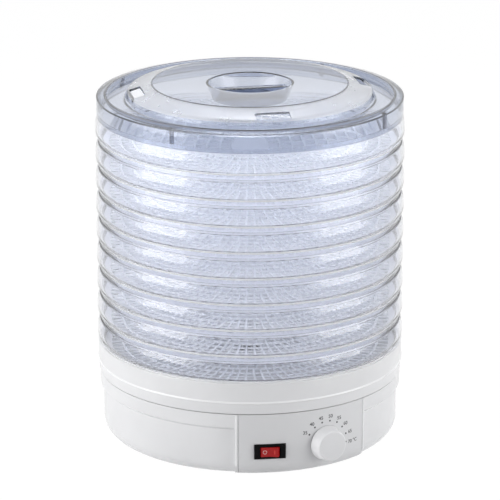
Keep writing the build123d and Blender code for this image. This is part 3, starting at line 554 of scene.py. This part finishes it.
# Painted shade goes on the disc's edge, the rim's inner edge and the ribs, and a painted reflection on the
# slope's upward faces
for face in lid.data.polygons:
    x, y, z = face.center / MM
    reach = math.hypot(x, y)
    off_rib = (math.degrees(math.atan2(x, -y)) - LID_TURN - RIB_TURN + 45) % 90 - 45
    on_edge = z > DISC - 0.6 and abs(reach - DISC_R) < EDGE + 0.1
    on_rim = z > RIM_IN_TOP - 1.2 and abs(reach - RIM_IN_R - 0.2) < EDGE + 0.1
    on_rib = 160.0 < reach < SKIRT_IN_R - 0.1 and abs(off_rib) < 0.75 and z > LID_SEAT - 0.1
    if on_edge or on_rim or on_rib:
        face.material_index = 2
    elif DISC_R < reach < SLOPE_R and face.normal.z > 0.35:
        face.material_index = 1
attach(lid, "lid")
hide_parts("lid")


# Base cover: a band with a bead low on its outside and a rounded top edge
cover_path = rounded(
    [
        (COVER_R - 1.1, COVER_LOW), (COVER_R - 0.3, COVER_BEAD_LOW - 0.2, 0.3),
        (BULGE_R, COVER_BEAD_LOW + 0.4, 0.4), (BULGE_R, COVER_BEAD_LOW + 1.1, 0.4),
        (COVER_R, COVER_BEAD_HIGH - 0.1, 0.4), (COVER_R, STACK_Z, 1.6), (MOUTH_R, STACK_Z),
        (MOUTH_R, LEDGE_TOP), (LEDGE_R, LEDGE_TOP), (LEDGE_R, LEDGE_LOW), (COVER_IN_R, LEDGE_LOW),
        (COVER_IN_R, COVER_LOW),
    ],
    0.3,
)
bm = bmesh.new()
lathe(bm, cover_path, 240)
cover = finish_mesh("cover_band", bm)
paint(cover, white)
cover.data.materials.append(bead_painted_highlight)
# The bead's outer faces take the lighter white, a painted highlight line
for face in cover.data.polygons:
    x, y, z = face.center / MM
    if COVER_BEAD_LOW < z < COVER_BEAD_HIGH and math.hypot(x, y) > COVER_R - 0.4:
        face.material_index = 1
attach(cover, "base")
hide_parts("base_cover")


# Dial: dots and numbers printed on the curved panel around the knob
def on_panel(u, v, lift=0.06):
    """A point on the panel: u to the viewer's right of the knob's axis, v above it, in mm."""
    angle = KNOB_ANGLE + math.degrees((u + DIAL_SHIFT) / PANEL_R)
    return around(angle, PANEL_R + lift, KNOB_Z + v)


def wrap(obj):
    """Wraps a flat piece, drawn in mm in x and y, onto the panel and gives it a slight thickness."""
    for v in obj.data.vertices:
        v.co = on_panel(v.co.x, v.co.y, 0.03 + 0.05 * v.co.z)


def printed(name, text, u, v, size):
    """Plain numbers laid on the panel, centred on a point."""
    curve = bpy.data.curves.new(name, "FONT")
    curve.body = text
    curve.size = size
    curve.align_x = "CENTER"
    curve.align_y = "CENTER"
    curve.offset = 0.05
    curve.extrude = 1.0
    maker = bpy.data.objects.new(name + "_maker", curve)
    bpy.context.scene.collection.objects.link(maker)
    bpy.context.view_layer.update()
    shape = maker.evaluated_get(bpy.context.evaluated_depsgraph_get())
    mesh = bpy.data.meshes.new_from_object(shape)
    bpy.data.objects.remove(maker)
    bm = bmesh.new()
    bm.from_mesh(mesh)
    bmesh.ops.remove_doubles(bm, verts=bm.verts, dist=GLYPH_WELD)
    bmesh.ops.dissolve_degenerate(bm, edges=bm.edges, dist=GLYPH_WELD)
    bm.to_mesh(mesh)
    bm.free()
    obj = bpy.data.objects.new(name, mesh)
    bpy.context.scene.collection.objects.link(obj)
    for vert in mesh.vertices:
        vert.co.x += u
        vert.co.y += v
    wrap(obj)
    paint(obj, ink)
    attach(obj, "base")


def dial_point(k):
    """Where the dial's dots lie, k from 0 to 7, as shares of their circle's radius."""
    turn = math.radians(150 - 23 * k)
    return math.cos(turn) + (0.06 if k > 5 else 0.0), math.sin(turn)


for k in range(8):
    u, v = dial_point(k)
    value = 35 + 5 * k
    bm = bmesh.new()
    bmesh.ops.create_cone(bm, cap_ends=True, segments=20, radius1=1.0, radius2=1.0, depth=2.0)
    for vert in bm.verts:
        vert.co.x += DOT_CIRCLE * u
        vert.co.y += DOT_CIRCLE * v
    dot = finish_mesh(f"dial_dot_{value}", bm)
    wrap(dot)
    paint(dot, ink)
    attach(dot, "base")
    printed(f"dial_number_{value}", str(value), NUMBER_CIRCLE[0] * u, NUMBER_CIRCLE[1] * v, NUMBER_SIZE)
u, v = dial_point(7)
printed("dial_unit", "°C", NUMBER_CIRCLE[0] * u + 6.8, NUMBER_CIRCLE[1] * v + 0.4, NUMBER_SIZE)


# Beads on the bay's upright edges beside the panel
def bay_bead(name, angle):
    """A half-round bead down one edge of the panel's bay, in a lighter white that paints its highlight."""
    bm = bmesh.new()
    ends = []
    for z in (BEAD_LOW, BEAD_HIGH):
        ring = []
        for i in range(9):
            a = math.pi * i / 8
            side = math.degrees(BEAD_HALF * math.cos(a) / PANEL_R)
            ring.append(bm.verts.new(around(angle + side, PANEL_R - 0.1 + BEAD_RISE * math.sin(a), z)))
        ends.append(ring)
    for i in range(9):
        j = (i + 1) % 9
        bm.faces.new((ends[0][i], ends[0][j], ends[1][j], ends[1][i]))
    for ring in ends:
        bm.faces.new(ring)
    bead = finish_mesh(name, bm, 60)
    paint(bead, bead_painted_highlight)
    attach(bead, "base")


bay_bead("bay_bead_left", -BAY_EDGE)
bay_bead("bay_bead_right", BAY_EDGE)


# Marks on the rocker's face: a ring on its off side and a bar on its on side
def on_rocker(u, v):
    """A point on the rocker's face: u to the viewer's right of its middle, v above it, in mm."""
    angle = SWITCH_ANGLE + math.degrees(u / PANEL_R)
    start = around(angle, PANEL_R + 20, SWITCH_Z + v)
    place, normal = nodes["switch_rocker"].ray_cast(start, around(angle, -1.0, 0.0))[1:3]
    return place + normal * MARK_LIFT * MM


def rocker_mark(name, outline, mat):
    """A thin closed mark on the rocker, from strips of paired inner and outer points."""
    bm = bmesh.new()
    pairs = [[bm.verts.new(on_rocker(*p)) for p in pair] for pair in outline]
    for a, b in zip(pairs, pairs[1:]):
        bm.faces.new((a[0], a[1], b[1], b[0]))
    bmesh.ops.remove_doubles(bm, verts=bm.verts, dist=1e-6)
    bmesh.ops.recalc_face_normals(bm, faces=bm.faces)
    bmesh.ops.solidify(bm, geom=bm.faces[:], thickness=MARK_THICK * MM)
    piece = finish_mesh(name, bm)
    paint(piece, mat)
    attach(piece, "rocker")


RING_U = -5.6
RING_RADII = (1.5, 2.3)
RING_STEPS = 32
BAR_SIDES = (3.9, 5.1)
BAR_LEVELS = (-2.2, -1.1, 0.0, 1.1, 2.2)
ring = []
for i in range(RING_STEPS + 1):
    a = 2 * math.pi * i / RING_STEPS
    ring.append([(RING_U + r * math.sin(a), r * math.cos(a)) for r in RING_RADII])
rocker_mark("rocker_ring", ring, pale_mark)
rocker_mark("rocker_bar", [[(u, v) for u in BAR_SIDES] for v in BAR_LEVELS], bright_mark)


# Floor and world, white where they are seen
def seen_directly(tree):
    """A value of 1 for camera, mirror and see-through rays, and 0 for those that only light things."""
    path = tree.nodes.new("ShaderNodeLightPath")
    value = path.outputs["Is Camera Ray"]
    for kind in ("Is Glossy Ray", "Is Transmission Ray"):
        either = tree.nodes.new("ShaderNodeMath")
        either.operation = "MAXIMUM"
        tree.links.new(value, either.inputs[0])
        tree.links.new(path.outputs[kind], either.inputs[1])
        value = either.outputs[0]
    return value


bm = bmesh.new()
bmesh.ops.create_grid(bm, x_segments=1, y_segments=1, size=6.0)
ground = finish_mesh("floor", bm)
ground.location.z = -0.0002
floor_mat = bpy.data.materials.new("floor_white")
floor_mat.use_nodes = True
tree = floor_mat.node_tree
tree.nodes.clear()
out = tree.nodes.new("ShaderNodeOutputMaterial")
diffuse = tree.nodes.new("ShaderNodeBsdfDiffuse")
diffuse.inputs["Color"].default_value = (0.8, 0.8, 0.8, 1)
glow = tree.nodes.new("ShaderNodeEmission")
glow.inputs["Strength"].default_value = 1.06
share = tree.nodes.new("ShaderNodeMath")
share.operation = "MULTIPLY"
share.inputs[1].default_value = 0.92
mix = tree.nodes.new("ShaderNodeMixShader")
tree.links.new(seen_directly(tree), share.inputs[0])
tree.links.new(share.outputs[0], mix.inputs[0])
tree.links.new(diffuse.outputs[0], mix.inputs[1])
tree.links.new(glow.outputs[0], mix.inputs[2])
tree.links.new(mix.outputs[0], out.inputs["Surface"])
paint(ground, floor_mat)

world = bpy.data.worlds.new("studio")
bpy.context.scene.world = world
world.use_nodes = True
tree = world.node_tree
tree.nodes.clear()
out = tree.nodes.new("ShaderNodeOutputWorld")
dim = tree.nodes.new("ShaderNodeBackground")
dim.inputs["Strength"].default_value = 0.25
bright = tree.nodes.new("ShaderNodeBackground")
bright.inputs["Strength"].default_value = 1.0
bright.inputs["Color"].default_value = (1, 1, 1, 1)
dim.inputs["Color"].default_value = (0.95, 0.97, 1.0, 1)
mix = tree.nodes.new("ShaderNodeMixShader")
tree.links.new(seen_directly(tree), mix.inputs[0])
tree.links.new(dim.outputs[0], mix.inputs[1])
tree.links.new(bright.outputs[0], mix.inputs[2])
tree.links.new(mix.outputs[0], out.inputs["Surface"])

# Lamps and camera, in metres and degrees
CAMERA_TURN = -21.2
CAMERA_LIFT = 17.58
CAMERA_PITCH = 17.388
CAMERA_AWAY = 3.5
TARGET = Vector((0, 0, 0.190))
SOFTBOX_SHARES = (1.0, 0.75, 0.5)
SOFTBOX_GAP = 0.02


def heading(turn, lift):
    """The direction from the target at a turn from the front towards +X and a lift above level."""
    a = math.radians(turn)
    e = math.radians(lift)
    return Vector((math.sin(a) * math.cos(e), -math.cos(a) * math.cos(e), math.sin(e)))


def softbox(name, turn, lift, distance, width, height, power):
    """Three lamps of falling size aimed at the object, so that the light fades towards its edges."""
    aim = heading(CAMERA_TURN + turn, lift)
    for layer, share in enumerate(SOFTBOX_SHARES):
        lamp = bpy.data.lights.new(f"{name}_{layer}", "AREA")
        lamp.shape = "RECTANGLE"
        lamp.size = width * share
        lamp.size_y = height * share
        lamp.energy = power / len(SOFTBOX_SHARES)
        obj = bpy.data.objects.new(f"{name}_{layer}", lamp)
        bpy.context.scene.collection.objects.link(obj)
        obj.location = TARGET + aim * (distance - SOFTBOX_GAP * layer)
        obj.rotation_euler = aim.to_track_quat("Z", "Y").to_euler()


softbox("left_softbox", turn=-64, lift=12, distance=1.6, width=2.0, height=2.0, power=20)
softbox("right_softbox", turn=68, lift=13, distance=1.6, width=1.9, height=2.0, power=15.5)
softbox("top_softbox", turn=180, lift=70, distance=1.6, width=1.0, height=0.8, power=8)

camera = bpy.data.cameras.new("camera")
camera.sensor_width = 36.0
camera.lens = 231.2
camera.clip_end = 50.0
view = bpy.data.objects.new("camera", camera)
bpy.context.scene.collection.objects.link(view)
view.location = TARGET + heading(CAMERA_TURN, CAMERA_LIFT) * CAMERA_AWAY
view.rotation_euler = (math.radians(90 - CAMERA_PITCH), 0, math.radians(CAMERA_TURN))
bpy.context.scene.camera = view
bpy.context.scene.view_settings.view_transform = "Standard"
cycles = bpy.context.scene.cycles
cycles.max_bounces = 48
cycles.transmission_bounces = 48
cycles.transparent_max_bounces = 64
cycles.diffuse_bounces = 8

bpy.context.view_layer.update()
